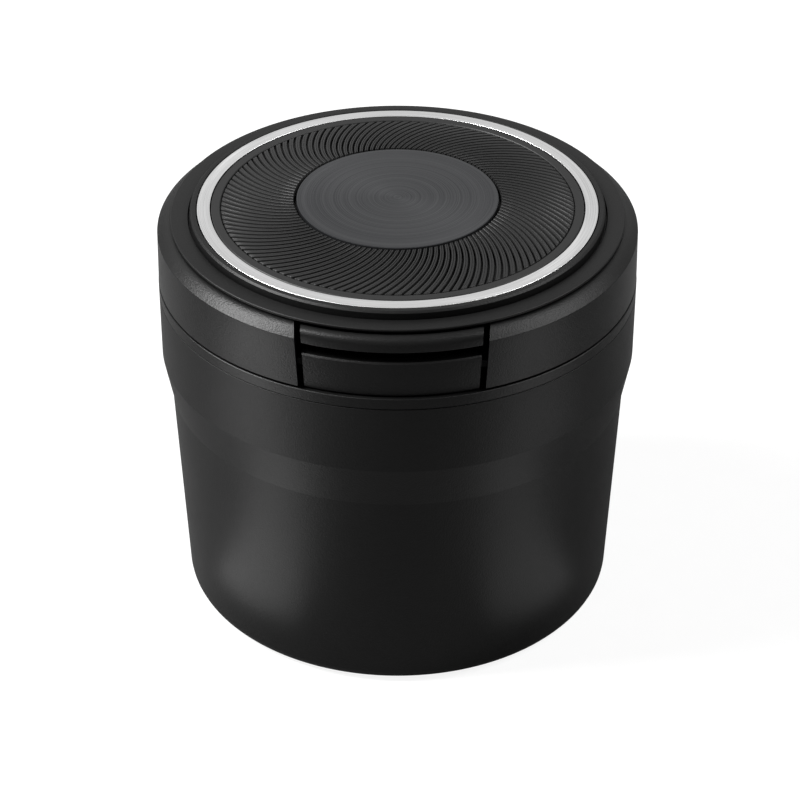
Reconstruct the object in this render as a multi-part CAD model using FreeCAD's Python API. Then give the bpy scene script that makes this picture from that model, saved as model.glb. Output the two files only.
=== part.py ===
import FreeCAD, Part
import math
import os

# Car ashtray: a cup for the cup holder with a head that carries a sprung, ribbed lid and a push button.
# Millimetres, +Z up, origin at the centre of the resting face, front of the object towards -Y.

# Fits
FIT = 0.1            # located pieces of one unit, radial
RUN = 0.05           # hinge knuckle on its pin, radial
FREE = 0.3           # air between pieces that move past each other

# Cup
CUP_R = 40.0
CUP_TOP = 57.0
WALL = 2.2
FLOOR = 3.2
BAND_IN = 1.4        # the lower wall, which stands in the cup holder, is this much smaller in radius
FOOT_TAPER = 1.7     # radius lost from the top of the lower wall to the foot
FOOT_ROUND = 2.0
HOLDER_TOP = 37.9
BAND_H = 7.4         # slanted band between the lower and the upper wall

# Anti-slip pad
PAD_MARGIN = 6.9
PAD_T = 1.5
PAD_PROUD = 0.3

# Collar ring
COLLAR_H = 2.0
COLLAR_T = 2.3
COLLAR_DEPTH = 5.0
COLLAR_BEVEL = 0.3

# Head housing
HEAD_H = 10.5
FOOT_DRAFT = 0.05
SKIRT_TAPER = 0.2    # radius lost from the foot of the skirt to the crease where the shoulder starts
SHOULDER_DROP = 1.55
SHOULDER_IN = 2.11   # the shoulder is a wide, gently curved band from the crease in to the rim
RIM_LAND = 0.9       # the rim turns in over the skirt, with a flat land under the cover
RIM_T = 1.0
SKIRT_T = 1.9
SEAM_H = 0.3
SEAM_DEPTH = 1.55
DECK_T = 2.1
NECK_IN = 7.6        # neck set back from the outside of the cup
NECK_T = 1.6
NECK_H = 2.3
SPIGOT_T = 2.0
SPIGOT_DEPTH = 5.0
SEAL_R = 0.6

# Liner and snuffer plate
LINER_T = 0.5
FLANGE_T = 0.6
STEP_DEPTH = 5.5
STEP_IN = 1.0
LINER_TAPER = 0.9
LINER_CORNER = 3.0
LINER_LIFT = 1.5     # air between the liner and the cup's floor
PLATE_T = 0.8
PLATE_CHORD = 2.0
TUBE_R = 5.0
TUBE_T = 0.5
TUBE_DEPTH = 12.0
TUBE_X = 11.0
TUBE_Y = 14.0
REST_R = 4.5

# Lid cover and trims
COVER_LIP = 0.14     # cover set back from the rim of the shoulder
COVER_EDGE_T = 0.45
COVER_EDGE_BEVEL = 0.25
LEDGE_T = 0.7
COVER_FLOOR_T = 1.5
LEDGE_W = 3.25
PLATEAU_H = 1.25
PLATEAU_BEVEL = 0.35
PLATEAU_RIM = 1.0
RECESS_D = 2.4
RING_W = 2.2
RING_BEVEL = 0.25
RIM_W = 1.6          # matte rim of the rib plate
RIM_MOAT_W = 0.3
RIB_COUNT = 120
RIB_D = 0.5
RIB_RISE = 1.15      # height gained from the rim to the centre disc
RIB_LEAD = 31.0      # degrees between a rib and the radius
GROOVE_SHARE = 0.34  # part of the rib pitch taken by the groove
DISC_R = 16.7
DISC_MOAT_W = 0.6
DISC_T = 1.25
DISC_BEVEL = 0.15

# Lid base
BASE_IN = 4.4        # lid base set back from the outside of the cup
COVER_STEP = 0.8
BASE_T = 1.6
NOTCH_HALF = 15.2    # half width of the front window, at the rim
NOTCH_LEAN = 0.55    # how much narrower it is on each side at the foot of the skirt
SLOT = 1.0           # air at each end of tongue and button
TONGUE_IN = 0.6      # face of tongue and button set back from the outside of the cup
TONGUE_T = 1.8
TONGUE_H = 2.45
TONGUE_ROUND = 1.3
TONGUE_WEB_T = 2.0
GASKET_OVER = 0.1    # gasket wider than the neck
GASKET_W = 1.7
GASKET_LIP = 1.0
SHIELD_T = 0.5
SCREW_IN = 8.6       # screws set in from the shield's edge
SCREW_COUNT = 2
SCREW_R = 1.0
SCREW_HEAD_R = 2.0
SCREW_HEAD_H = 0.8
SCREW_BITE = 1.1

# Hinge
HINGE_IN = 3.0       # axis set in from the outside of the cup
HINGE_RISE = 1.25    # axis above the lid base's underside
PIN_R = 1.0
KNUCKLE_R = 2.2
EAR_R = 2.0
COIL_HALF = 3.0      # half of the space for the lid spring
KNUCKLE_L = 3.6
EAR_L = 2.5
REAR_HALF = 11.0
BLOCK_H = 2.3
BLOCK_IN = 0.4       # block set back from the outside of the cup
WIRE_HALF = 0.3
COIL_R = 1.6
COIL_TURNS = 2.75
COIL_PITCH = 0.85
LEG_DOWN = 5.2
LEG_FORWARD = 3.5

# Button and latch
BUTTON_TOP = 6.0     # above the head's shadow gap
BUTTON_T = 1.7
BUTTON_BEVEL = 0.45
BUTTON_WALL = 1.4
TRAVEL = 0.9
BAR_T = 0.8
HOOK_OUT = 2.4
HOOK_T = 1.0
HOOK_H = 1.2
TAB_HALF = 3.6
TAB_T = 0.8
TAB_DROP = 4.1
NOSE = 0.6
NOSE_H = 1.1
SEAT_X = 8.5
SEAT_HALF = 1.8
SEAT_PIN_R = 0.75
SEAT_PIN_L = 1.1
BUTTON_WIRE_HALF = 0.2
BUTTON_COIL_R = 1.1
BUTTON_TURNS = 2.5

# Heights and radii that follow from the sizes above
COLLAR_TOP = CUP_TOP + COLLAR_H
RIM_Z = COLLAR_TOP + HEAD_H
LEDGE_Z = RIM_Z + FREE + COVER_EDGE_T
TOP_Z = LEDGE_Z + PLATEAU_H
RECESS_Z = TOP_Z - RECESS_D
BASE_TOP = RECESS_Z - COVER_FLOOR_T
BASE_Z = BASE_TOP - BASE_T
HINGE_Z = BASE_Z + HINGE_RISE
DECK_Z = COLLAR_TOP + DECK_T
NECK_TOP = DECK_Z + NECK_H
FLANGE_TOP = NECK_TOP + FLANGE_T
HOLDER_R = CUP_R - BAND_IN
FOOT_R = HOLDER_R - FOOT_TAPER
PAD_R = FOOT_R - PAD_MARGIN
CREASE_R = CUP_R - SKIRT_TAPER
NECK_R = CUP_R - NECK_IN
COVER_R = CREASE_R - SHOULDER_IN - COVER_LIP
PLATEAU_R = COVER_R - LEDGE_W
RECESS_R = PLATEAU_R - PLATEAU_RIM
BASE_R = CUP_R - BASE_IN
TONGUE_R = CUP_R - TONGUE_IN
GASKET_R = NECK_R + GASKET_OVER
SHIELD_R = GASKET_R - GASKET_W - 2 * FIT
SCREW_CIRCLE = SHIELD_R - SCREW_IN
HINGE_Y = CUP_R - HINGE_IN
CUP_BORE = CUP_R - WALL
COLLAR_BORE = CUP_BORE - FIT - COLLAR_T
SPIGOT_R = COLLAR_BORE - FIT
SKIRT_IN = CREASE_R - SKIRT_T
NECK_BORE = NECK_R - NECK_T
RING_R = RECESS_R - FIT
RING_IN = RING_R - RING_W
RIB_PLATE_R = RING_IN - 2 * FIT
RIM_IN = RIB_PLATE_R - RIM_W
RIB_OUT = RIM_IN - RIM_MOAT_W
RIB_IN = DISC_R + DISC_MOAT_W
STEP_Z = FLANGE_TOP - STEP_DEPTH
LINER_R = NECK_BORE - 4 * FIT
BUTTON_Z = COLLAR_TOP + SEAM_H
BUTTON_TOP_Z = BUTTON_Z + BUTTON_TOP
BUTTON_FLOOR = DECK_Z + FREE
BUTTON_IN = TONGUE_R - BUTTON_T
HINGE_HALF = COIL_HALF + KNUCKLE_L + 2 * FREE + EAR_L
TONGUE_TOP = RIM_Z
FRONT_HALF = NOTCH_HALF - SLOT
BUTTON_HALF = FRONT_HALF - NOTCH_LEAN
TONGUE_Z = TONGUE_TOP - TONGUE_H
SEAT_FRONT = -math.sqrt(BUTTON_IN ** 2 - SEAT_X ** 2) + 0.4
SEAT_BACK = -math.sqrt(NECK_R ** 2 - SEAT_X ** 2) - 0.6
SEAT_Z = BUTTON_FLOOR + BUTTON_COIL_R + BUTTON_WIRE_HALF

V = FreeCAD.Vector
Z_AXIS = V(0, 0, 1)
X_AXIS = V(1, 0, 0)
Y_AXIS = V(0, 1, 0)


def face_of(points, place):
    """Closed face through points. A pair of points stands for an arc: its middle, then its end."""
    edges = []
    here = place(points[0])
    for step in list(points[1:]) + [points[0]]:
        if isinstance(step[0], tuple):
            middle, end = place(step[0]), place(step[1])
            edges.append(Part.Arc(here, middle, end).toShape())
        else:
            end = place(step)
            edges.append(Part.LineSegment(here, end).toShape())
        here = end
    return Part.Face(Part.Wire(edges))


def turned(*points):
    """Solid of revolution about Z from (radius, height) points."""
    return face_of(points, lambda p: V(p[0], 0, p[1])).revolve(V(), Z_AXIS, 360)


def slab(x0, x1, y0, y1, z0, z1):
    return Part.makeBox(x1 - x0, y1 - y0, z1 - z0, V(x0, y0, z0))


def along_x(radius, x0, x1, y, z):
    return Part.makeCylinder(radius, x1 - x0, V(x0, y, z), X_AXIS)


def along_y(radius, x, y0, y1, z):
    return Part.makeCylinder(radius, y1 - y0, V(x, y0, z), Y_AXIS)


def leaning(half, low, high):
    """Space at the front between two sides that lean outwards, half the width apart at the rim."""
    foot, head = (half - NOTCH_LEAN * (RIM_Z - height) / HEAD_H for height in (low, high))
    corners = [V(-foot, 0, low), V(foot, 0, low), V(head, 0, high), V(-head, 0, high)]
    return Part.Face(Part.makePolygon(corners + corners[:1])).extrude(V(0, -CUP_R - 1, 0))


def both_sides(shape):
    """The shape and its mirror image across the middle plane."""
    return [shape, shape.mirror(V(), X_AXIS)]


def arc_middle(centre, radius, degrees):
    """Point of a rounding at an angle measured from the outward direction."""
    angle = math.radians(degrees)
    return (centre[0] + radius * math.cos(angle), centre[1] + radius * math.sin(angle))


def cup_body():
    base = PAD_PROUD
    foot = (FOOT_R - FOOT_ROUND, base + FOOT_ROUND)
    draft_in = HOLDER_R - WALL
    band_top = HOLDER_TOP + BAND_H
    body = turned(
        (0, base), (FOOT_R - FOOT_ROUND, base),
        arc_middle(foot, FOOT_ROUND, -45), (FOOT_R, base + FOOT_ROUND),
        (HOLDER_R, HOLDER_TOP), (CUP_R, band_top), (CUP_R, CUP_TOP), (CUP_BORE, CUP_TOP),
        (CUP_BORE, band_top), (draft_in, HOLDER_TOP), (FOOT_R - WALL, base + FLOOR), (0, base + FLOOR))
    return body.cut(Part.makeCylinder(PAD_R + FIT, PAD_T, V()))


def base_pad():
    return Part.makeCylinder(PAD_R, PAD_T, V())


def collar_ring():
    return turned(
        (COLLAR_BORE, CUP_TOP - COLLAR_DEPTH), (CUP_BORE - FIT, CUP_TOP - COLLAR_DEPTH),
        (CUP_BORE - FIT, CUP_TOP), (CUP_R, CUP_TOP), (CUP_R, COLLAR_TOP - COLLAR_BEVEL),
        (CUP_R - COLLAR_BEVEL, COLLAR_TOP), (COLLAR_BORE, COLLAR_TOP))


def head_shell():
    bottom = COLLAR_TOP - SPIGOT_DEPTH
    seal_z = COLLAR_TOP - 2 * SEAL_R - FIT
    crease_z = RIM_Z - SHOULDER_DROP
    rim_r = CREASE_R - SHOULDER_IN
    bulge = (rim_r + 0.5 * SHOULDER_IN, crease_z + 0.62 * SHOULDER_DROP)
    land_r = rim_r - RIM_LAND
    land_z = RIM_Z - RIM_T
    return turned(
        (SPIGOT_R - SPIGOT_T, bottom), (SPIGOT_R, bottom),
        (SPIGOT_R, seal_z - SEAL_R), (SPIGOT_R - 2 * SEAL_R, seal_z - SEAL_R),
        (SPIGOT_R - 2 * SEAL_R, seal_z + SEAL_R), (SPIGOT_R, seal_z + SEAL_R),
        (SPIGOT_R, COLLAR_TOP), (CUP_R - SEAM_DEPTH, COLLAR_TOP),
        (CUP_R - SEAM_DEPTH, BUTTON_Z), (CUP_R - FOOT_DRAFT, BUTTON_Z),
        (CREASE_R, crease_z), bulge, (rim_r, RIM_Z), (land_r, RIM_Z), (land_r, land_z),
        (SKIRT_IN, land_z - SKIRT_IN + land_r), (SKIRT_IN, DECK_Z), (NECK_R, DECK_Z), (NECK_R, NECK_TOP),
        (NECK_BORE, NECK_TOP), (NECK_BORE, COLLAR_TOP), (SPIGOT_R - SPIGOT_T, COLLAR_TOP))


def head_notches():
    """Window for tongue and button at the front, and for the hinge at the rear."""
    front_in = BUTTON_IN - TRAVEL - FREE - FIT
    reach = CUP_R + 1
    front = Part.makeCylinder(reach, HEAD_H, V(0, 0, COLLAR_TOP))
    front = front.cut(Part.makeCylinder(front_in, HEAD_H, V(0, 0, COLLAR_TOP)))
    front = front.common(leaning(NOTCH_HALF, COLLAR_TOP, RIM_Z))
    rear = slab(-REAR_HALF, REAR_HALF, NECK_R + 0.5, reach, DECK_Z, RIM_Z)
    return front, rear


def hinge_ears():
    inner = COIL_HALF + FREE + KNUCKLE_L + FREE
    ear = along_x(EAR_R, inner, inner + EAR_L, HINGE_Y, HINGE_Z)
    front, back = HINGE_Y - 0.7 * EAR_R, HINGE_Y + 0.8 * EAR_R
    web = slab(inner, inner + EAR_L, front, back, DECK_Z - DECK_T / 2, HINGE_Z)
    return both_sides(ear.fuse(web))


def hinge_block():
    """Low wall that closes the foot of the rear notch. The spring's lower leg bears on its front."""
    outer = CUP_R - BLOCK_IN
    inner = HINGE_Y - COIL_R + WIRE_HALF + RUN
    foot = DECK_Z - DECK_T / 2
    top = DECK_Z + BLOCK_H
    block = turned((inner, foot), (outer, foot), (outer, top), (inner, top))
    return block.common(slab(-HINGE_HALF, HINGE_HALF, 0, CUP_R, COLLAR_TOP, RIM_Z))


def spring_seats():
    """Pads with pins on the neck that carry the rear ends of the button springs."""
    pad = slab(SEAT_X - SEAT_HALF, SEAT_X + SEAT_HALF, SEAT_BACK, SEAT_BACK + 2.0, DECK_Z, NECK_TOP)
    pin = along_y(SEAT_PIN_R, SEAT_X, SEAT_BACK - SEAT_PIN_L, SEAT_BACK, SEAT_Z)
    return both_sides(pad.fuse(pin))


def head_housing():
    front, rear = head_notches()
    head = head_shell().cut(front).cut(rear)
    bore = Part.makeCylinder(NECK_BORE, HEAD_H, V(0, 0, COLLAR_TOP))
    seats = [seat.cut(bore) for seat in spring_seats()]
    head = head.fuse(hinge_ears() + [hinge_block()] + seats)
    return head.cut(along_x(PIN_R, -CUP_R, CUP_R, HINGE_Y, HINGE_Z)).removeSplitter()


def neck_seal():
    """Soft ring in the spigot's groove."""
    inner = SPIGOT_R - 2 * SEAL_R
    bottom = COLLAR_TOP - 3 * SEAL_R - FIT
    top = bottom + 2 * SEAL_R
    return turned((inner, bottom), (SPIGOT_R, bottom), (SPIGOT_R, top), (inner, top))


def inner_liner():
    bottom = PAD_PROUD + FLOOR + LINER_LIFT
    lower = LINER_R - STEP_IN
    foot = lower - LINER_TAPER
    t = LINER_T
    return turned(
        (0, bottom), (foot - LINER_CORNER, bottom),
        (foot, bottom + LINER_CORNER),
        (lower, STEP_Z - t), (LINER_R, STEP_Z - t), (LINER_R, NECK_TOP), (NECK_R, NECK_TOP),
        (NECK_R, FLANGE_TOP), (LINER_R - t, FLANGE_TOP), (LINER_R - t, STEP_Z), (lower - t, STEP_Z),
        (foot - t, bottom + LINER_CORNER), (foot - LINER_CORNER, bottom + t), (0, bottom + t))


def snuffer_plate():
    radius = LINER_R - LINER_T - FIT
    plate = Part.makeCylinder(radius, PLATE_T, V(0, 0, STEP_Z))
    plate = plate.common(slab(-radius, radius, PLATE_CHORD, radius, STEP_Z, STEP_Z + PLATE_T))
    tube_z = STEP_Z - TUBE_DEPTH
    centre = V(TUBE_X, TUBE_Y, tube_z)
    tube = Part.makeCylinder(TUBE_R, TUBE_DEPTH + PLATE_T, centre)
    bore = Part.makeCylinder(TUBE_R - TUBE_T, TUBE_DEPTH + PLATE_T, centre)
    plate = plate.fuse(both_sides(tube))
    for hole in both_sides(bore):
        plate = plate.cut(hole)
    rest = Part.makeCylinder(REST_R, PLATE_T, V(0, PLATE_CHORD, STEP_Z))
    return plate.cut(rest).removeSplitter()


def hinge_pin():
    return along_x(PIN_R, -HINGE_HALF, HINGE_HALF, HINGE_Y, HINGE_Z)


def coil(radius, half, turns, length):
    """Helical wire of square section about Z, from height 0 up, that starts on +X."""
    path = Part.makeHelix(length / turns, length, radius)
    corners = [(-half, -half), (half, -half), (half, half), (-half, half), (-half, -half)]
    section = Part.makePolygon([V(radius + across, 0, up) for across, up in corners])
    return Part.Wire(path.Edges).makePipeShell([section], True, True)


def lid_spring():
    """Torsion spring: one leg down in front of the hinge block, one leg forward under the lid base."""
    length = COIL_PITCH * COIL_TURNS
    spring = coil(COIL_R, WIRE_HALF, COIL_TURNS, length)
    spring.rotate(V(), Y_AXIS, 90)
    spring.rotate(V(), X_AXIS, 90)
    spring.rotate(V(), Z_AXIS, 180)
    spring.translate(V(length / 2, HINGE_Y, HINGE_Z))
    side, low = HINGE_Y - COIL_R, HINGE_Z - COIL_R
    half, end = WIRE_HALF, length / 2
    down = slab(end - half, end + half, side - half, side + half, HINGE_Z - LEG_DOWN, HINGE_Z)
    forward = slab(-end - half, -end + half, HINGE_Y - LEG_FORWARD, HINGE_Y, low - half, low + half)
    return spring.fuse([down, forward])


def lid_cover():
    step_r = PLATEAU_R + FIT
    thick_r = BASE_R + COVER_STEP
    cover = turned(
        (0, BASE_TOP), (step_r, BASE_TOP), (step_r, LEDGE_Z - LEDGE_T), (thick_r, LEDGE_Z - LEDGE_T),
        (thick_r, LEDGE_Z - COVER_EDGE_T), (COVER_R, LEDGE_Z - COVER_EDGE_T),
        (COVER_R, LEDGE_Z - COVER_EDGE_BEVEL),
        (COVER_R - COVER_EDGE_BEVEL, LEDGE_Z),
        (PLATEAU_R, LEDGE_Z), (PLATEAU_R, TOP_Z - PLATEAU_BEVEL),
        (PLATEAU_R - PLATEAU_BEVEL, TOP_Z),
        (RECESS_R, TOP_Z), (RECESS_R, RECESS_Z), (0, RECESS_Z))
    return cover.cut(screw_holes(SCREW_R + RUN, BASE_TOP, BASE_TOP + SCREW_BITE))


def trim_ring():
    return turned(
        (RING_IN, RECESS_Z), (RING_R, RECESS_Z), (RING_R, TOP_Z - RING_BEVEL),
        (RING_R - RING_BEVEL, TOP_Z), (RING_IN + RING_BEVEL, TOP_Z), (RING_IN, TOP_Z - RING_BEVEL))


def rib_side(turn):
    """Three stations along one side of a rib, on a spiral that keeps a fixed angle to the radius."""
    points = []
    for radius in (RIB_IN, math.sqrt(RIB_IN * RIB_OUT), RIB_OUT):
        sweep = turn - math.tan(math.radians(RIB_LEAD)) * math.log(radius / RIB_IN)
        points.append(V(radius * math.cos(sweep), radius * math.sin(sweep), TOP_Z - RIB_D))
    return points


def rib_blade():
    """One swirl rib: a bent blade whose flat top rises towards the centre disc."""
    half = math.pi * (1 - GROOVE_SHARE) / RIB_COUNT
    corners = rib_side(-half) + rib_side(half)[::-1]
    blade = Part.Face(Part.makePolygon(corners + corners[:1])).extrude(V(0, 0, RIB_D + RIB_RISE))
    sweep = math.tan(math.radians(RIB_LEAD)) * math.log(RIB_OUT / RIB_IN)
    above = TOP_Z + 2 * RIB_RISE
    slope = [V(0, 0, above), V(0, 0, TOP_Z + RIB_RISE), V(RIB_IN, 0, TOP_Z + RIB_RISE),
             V(RIB_OUT, 0, TOP_Z), V(CUP_R, 0, TOP_Z), V(CUP_R, 0, above), V(0, 0, above)]
    wedge = Part.Face(Part.makePolygon(slope)).extrude(V(0, CUP_R, 0))
    wedge.translate(V(0, -CUP_R / 2, 0))
    wedge.rotate(V(), Z_AXIS, -math.degrees(sweep) / 2)
    return blade.cut(wedge)


def rib_plate():
    seat_z = TOP_Z + RIB_RISE - DISC_T
    floor_z = TOP_Z - RIB_D
    blank = turned(
        (0, RECESS_Z), (RIB_PLATE_R, RECESS_Z), (RIB_PLATE_R, TOP_Z), (RIM_IN, TOP_Z), (RIM_IN, floor_z),
        (RIB_IN - DISC_MOAT_W, floor_z), (RIB_IN - DISC_MOAT_W, seat_z), (0, seat_z))
    blade = rib_blade()
    blades = []
    for index in range(RIB_COUNT):
        copy = blade.copy()
        copy.rotate(V(), Z_AXIS, 360.0 * index / RIB_COUNT)
        blades.append(copy)
    return blank.fuse(blades)


def centre_disc():
    seat_z = TOP_Z + RIB_RISE - DISC_T
    top = seat_z + DISC_T
    edge = top - DISC_BEVEL
    return turned((0, seat_z), (DISC_R, seat_z), (DISC_R, edge), (DISC_R - DISC_BEVEL, top), (0, top))


def screw_places():
    places = []
    for index in range(SCREW_COUNT):
        angle = math.radians(360 * index / SCREW_COUNT)
        places.append((SCREW_CIRCLE * math.cos(angle), SCREW_CIRCLE * math.sin(angle)))
    return places


def screw_holes(radius, low, high):
    return Part.makeCompound([Part.makeCylinder(radius, high - low, V(x, y, low)) for x, y in screw_places()])


def tongue():
    """Front lip of the lid with its own rounded shoulder, and the web that ties it to the base."""
    inner = TONGUE_R - TONGUE_T
    round_at = (TONGUE_R - TONGUE_ROUND, TONGUE_TOP - TONGUE_ROUND)
    web_z = TONGUE_Z - 0.5
    lip = turned(
        (BASE_R - 1, web_z), (inner, web_z), (inner, TONGUE_Z), (TONGUE_R - 0.3, TONGUE_Z),
        (TONGUE_R, TONGUE_Z + 0.3), (TONGUE_R, TONGUE_TOP - TONGUE_ROUND),
        (arc_middle(round_at, TONGUE_ROUND, 45), (TONGUE_R - TONGUE_ROUND, TONGUE_TOP)),
        (inner, TONGUE_TOP), (inner, web_z + TONGUE_WEB_T), (BASE_R - 1, web_z + TONGUE_WEB_T))
    return lip.common(leaning(FRONT_HALF, BASE_Z, RIM_Z))


def latch_tab():
    """Tab that goes down into the button's window, with a nose under the catch bar."""
    back = -(BUTTON_IN - TRAVEL - FREE - FIT) + 0.1 + TAB_T
    front = back - TAB_T
    low = BASE_Z - TAB_DROP
    profile = [V(0, front, BASE_Z + BASE_T / 2), V(0, front, low + NOSE), V(0, front + TAB_T / 2, low),
               V(0, back, low), V(0, back + NOSE, low + NOSE_H / 2), V(0, back + NOSE, low + NOSE_H),
               V(0, back, low + NOSE_H), V(0, back, BASE_Z + BASE_T / 2)]
    tab = Part.Face(Part.makePolygon(profile + [profile[0]])).extrude(V(2 * TAB_HALF, 0, 0))
    tab.translate(V(-TAB_HALF, 0, 0))
    return tab


def lid_base():
    plate = Part.makeCylinder(BASE_R, BASE_T, V(0, 0, BASE_Z))
    spring_room = slab(-COIL_HALF, COIL_HALF, HINGE_Y - KNUCKLE_R, HINGE_Y + KNUCKLE_R, BASE_Z, BASE_TOP)
    plate = plate.cut(spring_room)
    inner = COIL_HALF + FREE
    knuckles = both_sides(along_x(KNUCKLE_R, inner, inner + KNUCKLE_L, HINGE_Y, HINGE_Z))
    strap = slab(inner, inner + KNUCKLE_L, HINGE_Y - 2 * KNUCKLE_R, HINGE_Y, BASE_Z, BASE_TOP)
    base = plate.fuse(knuckles + both_sides(strap) + [tongue(), latch_tab()])
    ear_in = inner + KNUCKLE_L
    room = along_x(EAR_R + FREE + RUN, ear_in, ear_in + EAR_L + 2 * FREE, HINGE_Y, HINGE_Z)
    for part in both_sides(room):
        base = base.cut(part)
    base = base.cut(along_x(PIN_R + RUN, -CUP_R, CUP_R, HINGE_Y, HINGE_Z))
    base = base.cut(screw_holes(SCREW_R + FIT, BASE_Z, BASE_TOP))
    return base.cut(screw_holes(SCREW_HEAD_R + FIT, BASE_Z, BASE_Z + SCREW_HEAD_H)).removeSplitter()


def lid_gasket():
    low = FLANGE_TOP + FREE
    middle = GASKET_R - GASKET_W / 2
    return turned((GASKET_R - GASKET_W, BASE_Z), (middle - GASKET_LIP / 2, low),
                  (middle + GASKET_LIP / 2, low), (GASKET_R, BASE_Z))


def heat_shield():
    return Part.makeCylinder(SHIELD_R, SHIELD_T, V(0, 0, BASE_Z - SHIELD_T))


def lid_screws():
    """Screws that hold the cover on the base, their heads sunk in the base above the heat shield."""
    shoulder = BASE_Z + SCREW_HEAD_H
    top = BASE_TOP + SCREW_BITE
    screw = turned((0, BASE_Z), (SCREW_HEAD_R, BASE_Z), (SCREW_HEAD_R, shoulder),
                   (SCREW_R, shoulder), (SCREW_R, top), (0, top))
    screws = []
    for x, y in screw_places():
        copy = screw.copy()
        copy.translate(V(x, y, 0))
        screws.append(copy)
    return Part.makeCompound(screws)


def push_button():
    face = turned(
        (BUTTON_IN, BUTTON_Z), (TONGUE_R, BUTTON_Z), (TONGUE_R, BUTTON_TOP_Z - BUTTON_BEVEL),
        (TONGUE_R - BUTTON_BEVEL, BUTTON_TOP_Z), (BUTTON_IN, BUTTON_TOP_Z))
    face = face.common(leaning(FRONT_HALF, BUTTON_Z, BUTTON_TOP_Z))
    nose_y = -(BUTTON_IN - TRAVEL - FREE - FIT) + 0.1 + TAB_T + NOSE
    bar_front = nose_y + FREE
    bar_back = bar_front + BAR_T
    roof_z = SEAT_Z + BUTTON_COIL_R + BUTTON_WIRE_HALF + FIT
    inside = Part.makeCylinder(BUTTON_IN + BUTTON_T / 2, BUTTON_TOP, V(0, 0, BUTTON_Z))
    roof = slab(-BUTTON_HALF, BUTTON_HALF, -CUP_R, bar_back, roof_z, BUTTON_TOP_Z)
    window_half = TAB_HALF + FREE
    window = slab(-window_half, window_half, -BUTTON_IN, bar_front, roof_z, BUTTON_TOP_Z)
    bar_z = BASE_Z - TAB_DROP + NOSE_H + FIT
    bar = slab(-window_half, window_half, bar_front, bar_back, bar_z, BUTTON_TOP_Z)
    wall_in = BUTTON_HALF - BUTTON_WALL
    wall = slab(wall_in, BUTTON_HALF, -CUP_R, bar_back, BUTTON_FLOOR, BUTTON_TOP_Z)
    hook_y = -math.sqrt((SKIRT_IN - FREE - FIT) ** 2 - (BUTTON_HALF + HOOK_OUT) ** 2)
    hook = slab(wall_in, BUTTON_HALF + HOOK_OUT, hook_y, hook_y + HOOK_T, BUTTON_FLOOR, BUTTON_FLOOR + HOOK_H)
    link = slab(wall_in, BUTTON_HALF, bar_back - 1, hook_y + HOOK_T, BUTTON_FLOOR, roof_z)
    seat = slab(SEAT_X - SEAT_HALF, SEAT_X + SEAT_HALF, -CUP_R, SEAT_FRONT, BUTTON_FLOOR, BUTTON_TOP_Z)
    pin = along_y(SEAT_PIN_R, SEAT_X, SEAT_FRONT, SEAT_FRONT + SEAT_PIN_L, SEAT_Z)
    trimmed = [shape.common(inside) for shape in [roof.cut(window), wall, seat]]
    button = face.fuse(trimmed + [bar, hook, link, pin])
    for other in (wall, seat):
        button = button.fuse(other.common(inside).mirror(V(), X_AXIS))
    for other in (hook, link, pin):
        button = button.fuse(other.mirror(V(), X_AXIS))
    return button.removeSplitter()


def button_spring(side):
    length = SEAT_BACK - SEAT_FRONT - 2 * (BUTTON_WIRE_HALF + RUN)
    spring = coil(BUTTON_COIL_R, BUTTON_WIRE_HALF, BUTTON_TURNS, length)
    spring.rotate(V(), X_AXIS, -90)
    spring.translate(V(side * SEAT_X, SEAT_FRONT + BUTTON_WIRE_HALF + RUN, SEAT_Z))
    return spring


PIECES = {
    "cup_body": cup_body,
    "base_pad": base_pad,
    "collar_ring": collar_ring,
    "head_housing": head_housing,
    "neck_seal": neck_seal,
    "inner_liner": inner_liner,
    "snuffer_plate": snuffer_plate,
    "hinge_pin": hinge_pin,
    "lid_spring": lid_spring,
    "lid_base": lid_base,
    "lid_cover": lid_cover,
    "trim_ring": trim_ring,
    "rib_plate": rib_plate,
    "centre_disc": centre_disc,
    "lid_gasket": lid_gasket,
    "heat_shield": heat_shield,
    "lid_screws": lid_screws,
    "push_button": push_button,
    "button_spring_left": lambda: button_spring(-1),
    "button_spring_right": lambda: button_spring(1),
}

os.makedirs("parts", exist_ok=True)
for name, make in PIECES.items():
    make().exportStep("parts/" + name + ".step")
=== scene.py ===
import math

import bmesh
import bpy
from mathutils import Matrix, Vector
from mathutils.geometry import tessellate_polygon


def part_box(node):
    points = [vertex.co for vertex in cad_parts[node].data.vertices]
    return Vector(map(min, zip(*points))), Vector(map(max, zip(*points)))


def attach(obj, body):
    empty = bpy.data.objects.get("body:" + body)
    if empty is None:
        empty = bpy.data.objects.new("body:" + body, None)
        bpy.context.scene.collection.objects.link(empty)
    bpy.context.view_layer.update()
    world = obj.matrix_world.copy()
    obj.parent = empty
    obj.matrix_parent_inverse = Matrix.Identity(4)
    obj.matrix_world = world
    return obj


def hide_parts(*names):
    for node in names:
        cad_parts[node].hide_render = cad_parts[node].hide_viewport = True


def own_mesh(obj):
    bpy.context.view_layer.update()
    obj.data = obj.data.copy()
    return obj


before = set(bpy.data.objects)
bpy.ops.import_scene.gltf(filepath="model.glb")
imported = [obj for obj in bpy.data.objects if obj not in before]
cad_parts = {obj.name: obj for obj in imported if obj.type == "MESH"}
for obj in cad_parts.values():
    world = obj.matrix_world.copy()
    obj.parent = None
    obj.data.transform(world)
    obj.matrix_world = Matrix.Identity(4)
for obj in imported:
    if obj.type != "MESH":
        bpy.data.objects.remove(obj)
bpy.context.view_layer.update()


# Cup
# The cup is one moulding in heat-resistant black plastic with a fine sparked grain. The slanted
# band in its wall rests on the mouth of the car's cup holder, and the floor has a pocket for the pad.

MM = 0.001
TURN_STEPS = 224
SHARP = math.radians(38)


def size(node):
    """Lowest and highest corner of a CAD node, in millimetres."""
    low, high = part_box(node)
    return low / MM, high / MM


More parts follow.
